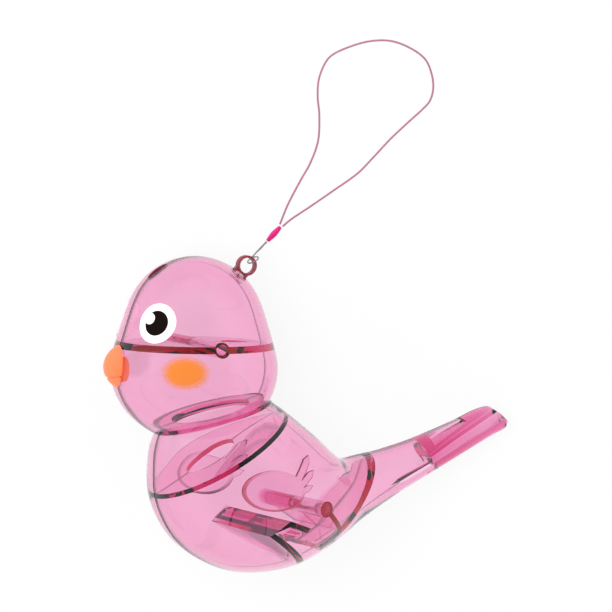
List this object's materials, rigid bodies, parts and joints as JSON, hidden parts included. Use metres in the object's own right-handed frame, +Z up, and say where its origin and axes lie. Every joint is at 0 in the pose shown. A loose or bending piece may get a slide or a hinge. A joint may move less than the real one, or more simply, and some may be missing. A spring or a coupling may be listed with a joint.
{
  "type": "bird whistle",
  "caption": "Clear pink plastic water whistle shaped as a chick, with an orange beak, printed eyes and a bead and cord wrist loop, lying on its side",
  "frame": {"origin": "on the ground, under the middle of the bird's box as it lies; the strap is left out of that box", "axes": "+X from the beak towards the tail, +Y towards the crown, +Z up from the ground"},
  "size_m": [0.1004, 0.1258, 0.0464],
  "materials": {
    "clear_pink_plastic": "clear pink polystyrene, polished",
    "orange_plastic": "opaque orange, satin gloss",
    "eye_print": "white print with a black pupil",
    "grey_thread": "thin grey thread",
    "pink_bead": "hot pink, glossy",
    "pink_cord": "thin pink cord"
  },
  "bodies": {
    "root": {"left_shell": "clear_pink_plastic", "right_shell": "clear_pink_plastic", "beak": "orange_plastic", "left_eye": "eye_print", "right_eye": "eye_print", "strap_thread": "grey_thread", "strap_bead": "pink_bead", "strap_loop": "pink_cord"}
  },
  "joints": []
}
